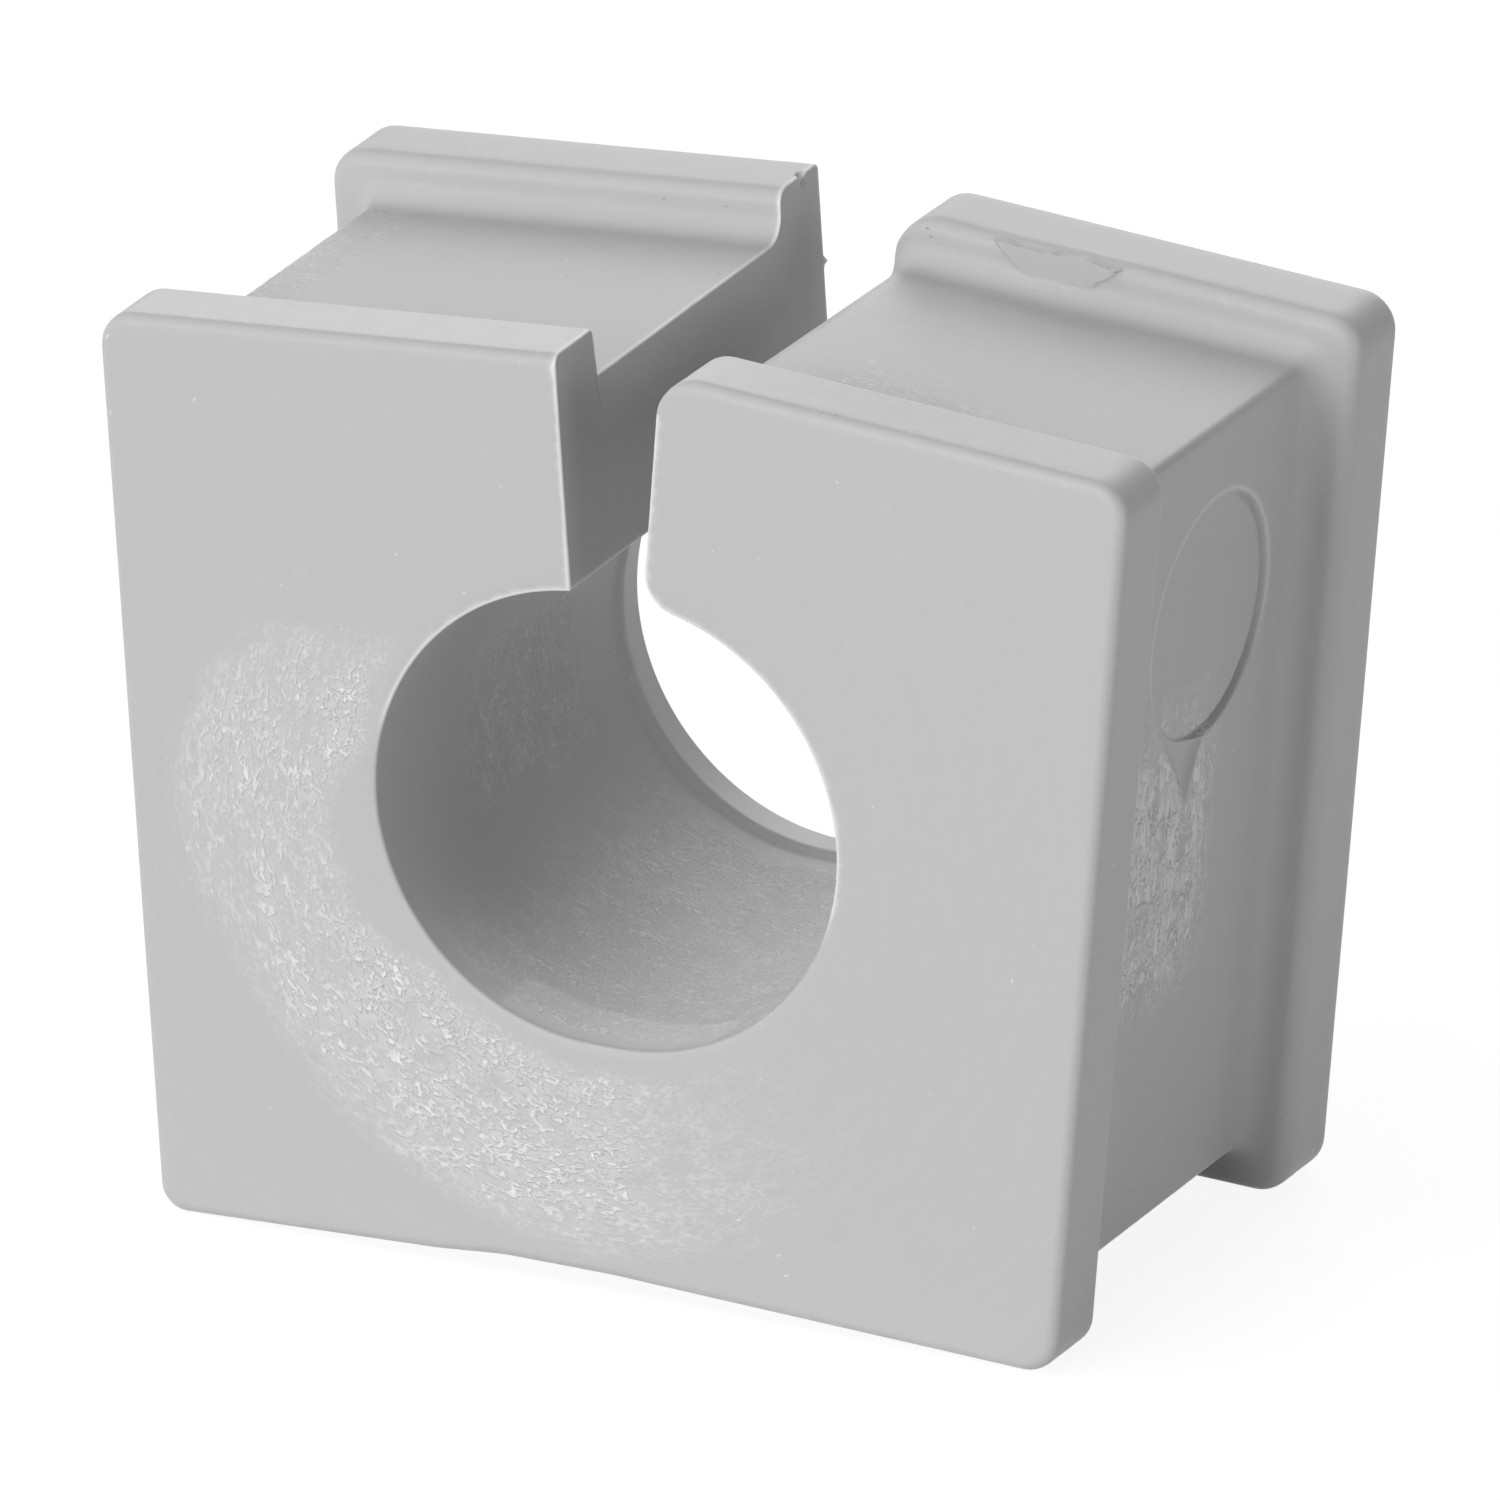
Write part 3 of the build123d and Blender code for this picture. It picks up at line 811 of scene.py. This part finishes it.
def elastomer(sizes):
    """Grey moulded elastomer, paler, rougher and flecked where it crinkled, with a pale line along
    sharp edges that is partly stress whitening and partly a painted highlight, a painted highlight
    round the disc and a painted sheen on the front flange's top.
    """
    material = bpy.data.materials.new("elastomer_grey")
    finish = Finish(material)
    along, reach, depth = flow_place(finish)
    place = finish.vector(along, reach, depth)
    across = (reach * STREAK_ACROSS, depth * STREAK_ACROSS)
    crinkle, sharp, rim = (finish.attribute(name) for name in ("crinkle", "sharp_rim", "painted_highlight_share"))
    fold = 2 * finish.noise(place, CREASES, 3) - 1
    ridge = 1 - fold.math("ABSOLUTE", fold)
    grain = finish.noise(place, GRAINS, 2)
    clusters = finish.noise(place, CLUSTERS, 2).between(*CLUSTER_BAND)
    mottle = finish.noise(place, MOTTLES, 2)
    streak = finish.noise(finish.vector(along * STREAK_ALONG, *across), 1.0, 2)
    worm = ridge.between(*WORM_BAND) * grain.between(*WORM_GRAIN)
    torn = crinkle * (TORN_LEAST + TORN_MORE * clusters)
    raw = torn.math("MAXIMUM", torn - RAW_FROM, 0)

    distance, (drawn, size, tone) = finish.cells(place, CELLS)
    core, rim_of_core = FLECK_CORE
    fleck = 1 - distance.between(core, rim_of_core + FLECK_MORE * size)
    fleck = (drawn > FLECK_BAR - crinkle * sizes.fleck_share) * fleck
    pit = (tone > PIT_BAR) * (1 - distance.between(*PIT_CORE))

    paleness_and_highlight = torn * (WHITENING_AND_HIGHLIGHTS["torn"] + WHITENING_AND_HIGHLIGHTS["worm"] * worm) + raw * WHITENING_AND_HIGHLIGHTS["raw"]
    # A pale line along sharp edges, partly stress whitening and partly a painted highlight, then
    # the painted highlight round the disc and the painted sheen on the front flange's top
    paleness_and_highlight = paleness_and_highlight + sharp ** EDGE_FALL * WHITENING_AND_HIGHLIGHTS["edge"] + rim * WHITENING_AND_HIGHLIGHTS["rim"]
    paleness_and_highlight = paleness_and_highlight + fleck * (WHITENING_AND_HIGHLIGHTS["fleck"] + WHITENING_AND_HIGHLIGHTS["fleck_tone"] * tone)
    for name, noise_value in (("streak", streak), ("mottle", mottle), ("grain", grain)):
        paleness_and_highlight = paleness_and_highlight + WHITENING_AND_HIGHLIGHTS[name] * (noise_value - 0.5)
    share = paleness_and_highlight.math("MINIMUM", paleness_and_highlight, 1)
    body = finish.mix(share, (*sizes.elastomer, 1), (*sizes.pale_and_highlight, 1))
    colour = finish.mix(pit * PIT_SHARE, body, (*sizes.pit, 1))

    creases = worm * HEIGHT["worm"] + grain * HEIGHT["grain"]
    height = torn.math("MINIMUM", torn, TORN_HIGHEST) * creases
    height = height + fleck * HEIGHT["fleck"] + grain * HEIGHT["skin"]
    bump = {"Strength": 1.0, "Distance": MM, "Height": height}
    inputs = {
        "Base Color": colour,
        "Roughness": ROUGHNESS + CRINKLE_ROUGHER * crinkle - FLECK_SMOOTHER * fleck,
        "IOR": IOR,
        "Normal": finish.node("ShaderNodeBump", None, bump, "Normal"),
    }
    shader = finish.node("ShaderNodeBsdfPrincipled", None, inputs)
    finish.node("ShaderNodeOutputMaterial", None, {"Surface": shader})
    return material


def seen(finish):
    """One for what the camera sees, straight, in a reflection or through something clear."""
    camera, glossy, through = (finish.node("ShaderNodeLightPath", None, None, f"Is {name} Ray")
                               for name in ("Camera", "Glossy", "Transmission"))
    return camera + glossy + through


def floor_finish(sizes):
    """White to the camera and in reflections, with a share of real light for the shadow."""
    material = bpy.data.materials.new("stage_white")
    finish = Finish(material)
    paper = finish.node("ShaderNodeBsdfDiffuse", None, {"Color": (*sizes.floor, 1)})
    glow = finish.node("ShaderNodeEmission", None, {"Color": WHITE_LIGHT, "Strength": sizes.glow})
    inputs = {0: seen(finish) * (1 - sizes.shadow), 1: paper, 2: glow}
    mixed = finish.node("ShaderNodeMixShader", None, inputs)
    finish.node("ShaderNodeOutputMaterial", None, {"Surface": mixed})
    return material


def studio_world(sizes):
    """White where it is seen, and a faint light from all round."""
    world = bpy.data.worlds.new("studio")
    bpy.context.scene.world = world
    finish = Finish(world)
    light = {"Color": WHITE_LIGHT, "Strength": sizes.ambient}
    light = finish.node("ShaderNodeBackground", None, light)
    white = finish.node("ShaderNodeBackground", None, {"Color": WHITE_LIGHT, "Strength": 1.0})
    mixed = finish.node("ShaderNodeMixShader", None, {0: seen(finish), 1: light, 2: white})
    finish.node("ShaderNodeOutputWorld", None, {"Surface": mixed})


# The camera, fitted to the photo, in millimetres and degrees
CAMERA_AZIMUTH, CAMERA_ELEVATION, CAMERA_ROLL = 25.61, 21.19, 0.37
CAMERA_DISTANCE = 1052.3
CAMERA_TARGET = (0.41, -0.04, 19.93)
CAMERA_LENS, CAMERA_SENSOR = 602.8, 36
CAMERA_NEAR, CAMERA_FAR = 0.01, 10         # metres
FLOOR_REACH = 4.0             # metres from the middle of the floor to its sides


def direction(azimuth, elevation):
    """Towards a place round the block, in degrees, from the front towards the right."""
    azimuth, elevation = math.radians(azimuth), math.radians(elevation)
    return Vector((math.sin(azimuth) * math.cos(elevation),
                   -math.cos(azimuth) * math.cos(elevation), math.sin(elevation)))


def set_camera():
    azimuth, roll = math.radians(CAMERA_AZIMUTH), math.radians(CAMERA_ROLL)
    back = direction(CAMERA_AZIMUTH, CAMERA_ELEVATION)
    right = Vector((math.cos(azimuth), math.sin(azimuth), 0))
    up = back.cross(right)
    right, up = (right * math.cos(roll) + up * math.sin(roll),
                 up * math.cos(roll) - right * math.sin(roll))
    data = bpy.data.cameras.new("camera")
    data.lens = CAMERA_LENS
    data.sensor_width = CAMERA_SENSOR
    data.clip_start, data.clip_end = CAMERA_NEAR, CAMERA_FAR
    camera = bpy.data.objects.new("camera", data)
    place = (Vector(CAMERA_TARGET) + back * CAMERA_DISTANCE) * MM
    turn = Matrix((right, up, back)).transposed().to_4x4()
    camera.matrix_world = Matrix.Translation(place) @ turn
    bpy.context.scene.collection.objects.link(camera)
    bpy.context.scene.camera = camera


# Soft lamps round the block: degrees round it from the front towards the right, degrees up and
# strength, and how wide each one looks from the block, in degrees
LAMP_SPREAD = 40
LAMPS = (
    ("front", -10, 8, 2.42),
    ("back_low", -165, 8, 0.4),
    ("back", -165, 30, 0.85),
    ("left", -90, 25, 0.38),
    ("right", 88, 8, 0.66),
    ("top_left", -45, 60, 0.85),
)


def add_sun(name, azimuth, elevation, strength):
    data = bpy.data.lights.new(name, "SUN")
    data.energy = strength
    data.angle = math.radians(LAMP_SPREAD)
    lamp = bpy.data.objects.new(name, data)
    lamp.rotation_mode = "QUATERNION"
    lamp.rotation_quaternion = direction(azimuth, elevation).to_track_quat("Z", "Y")
    bpy.context.scene.collection.objects.link(lamp)


class GrommetSizes(bpy.types.PropertyGroup):
    """What a user would change about the grommet and its stage."""

    elastomer: FloatVectorProperty(
        name="Elastomer", description="Colour of the moulded elastomer", subtype="COLOR",
        default=(0.55, 0.55, 0.55), min=0, max=1)
    # Also the colour of the painted highlights along sharp edges and round the disc and of the
    # painted sheen on the front flange's top; the line along sharp edges is partly stress whitening
    pale_and_highlight: FloatVectorProperty(
        name="Whitening and highlights", description="Colour of torn flecks, ridges and sharp edges",
        subtype="COLOR", default=(0.9, 0.9, 0.9), min=0, max=1)
    pit: FloatVectorProperty(
        name="Pits", description="Colour of the tiny dark pits", subtype="COLOR",
        default=(0.2, 0.2, 0.2), min=0, max=1)
    fleck_share: FloatProperty(
        name="Fleck share", description="How many places in the crinkled patches are torn",
        subtype="FACTOR", default=0.2, min=0, max=1)
    crinkle: FloatProperty(
        name="Crinkle height", description="Height of the creases in the crinkled patches",
        unit="LENGTH", default=0.00005, min=0)
    disc_depth: FloatProperty(
        name="Disc depth", description="Depth of the round mark in the right side",
        unit="LENGTH", default=0.0002, min=0)
    dip_depth: FloatProperty(
        name="Dip depth", description="Depth of the three-cornered dip under the disc",
        unit="LENGTH", default=0.00025, min=0)
    gate_height: FloatProperty(
        name="Gate height", description="How far the gate mark stands out of the back flange",
        unit="LENGTH", default=0.0001, min=0)
    floor: FloatVectorProperty(
        name="Floor", description="Colour of the floor", subtype="COLOR",
        default=(0.8, 0.8, 0.8), min=0, max=1)
    shadow: FloatProperty(
        name="Shadow", description="Share of the floor's look that comes from real light",
        subtype="FACTOR", default=0.3, min=0, max=1)
    glow: FloatProperty(
        name="Glow", description="Brightness of the floor's other share, which keeps it white",
        default=1.27, min=0)
    ambient: FloatProperty(
        name="Ambient light", description="Strength of the light from all round",
        default=0.02, min=0)


class OBJECT_OT_grommet(bpy.types.Operator):
    """Builds the grommet's skin and gives it its finish"""

    bl_idname = "object.make_grommet"
    bl_label = "Make grommet"

    def execute(self, context):
        sizes = context.scene.grommet_sizes
        piece = build_skin(sizes)
        piece.data.materials.append(elastomer(sizes))
        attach(piece, BODY)
        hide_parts(NODE)
        return {"FINISHED"}


class OBJECT_OT_grommet_stage(bpy.types.Operator):
    """Sets the floor, the light and the camera"""

    bl_idname = "object.make_grommet_stage"
    bl_label = "Make stage"

    def execute(self, context):
        sizes = context.scene.grommet_sizes
        reach = FLOOR_REACH
        corners = [(-reach, -reach, 0), (reach, -reach, 0), (reach, reach, 0), (-reach, reach, 0)]
        mesh = bpy.data.meshes.new("floor")
        mesh.from_pydata(corners, [], [(0, 1, 2, 3)])
        floor = bpy.data.objects.new("floor", mesh)
        bpy.context.scene.collection.objects.link(floor)
        mesh.materials.append(floor_finish(sizes))
        studio_world(sizes)
        for name, azimuth, elevation, strength in LAMPS:
            add_sun(name, azimuth, elevation, strength)
        set_camera()
        context.scene.view_settings.view_transform = "Standard"
        return {"FINISHED"}


class VIEW3D_PT_grommet(bpy.types.Panel):
    """Shows the grommet's settings and the buttons that make it and its stage"""

    bl_label = "Grommet"
    bl_space_type = "VIEW_3D"
    bl_region_type = "UI"
    bl_category = "Grommet"

    def draw(self, context):
        for name in GrommetSizes.__annotations__:
            self.layout.prop(context.scene.grommet_sizes, name)
        self.layout.operator(OBJECT_OT_grommet.bl_idname)
        self.layout.operator(OBJECT_OT_grommet_stage.bl_idname)


CLASSES = (GrommetSizes, OBJECT_OT_grommet, OBJECT_OT_grommet_stage, VIEW3D_PT_grommet)


def register():
    for item in CLASSES:
        bpy.utils.register_class(item)
    bpy.types.Scene.grommet_sizes = PointerProperty(type=GrommetSizes)


def unregister():
    del bpy.types.Scene.grommet_sizes
    for item in reversed(CLASSES):
        bpy.utils.unregister_class(item)


def main():
    register()
    bpy.ops.object.make_grommet()
    bpy.ops.object.make_grommet_stage()
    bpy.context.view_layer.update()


if __name__ == "__main__":
    main()
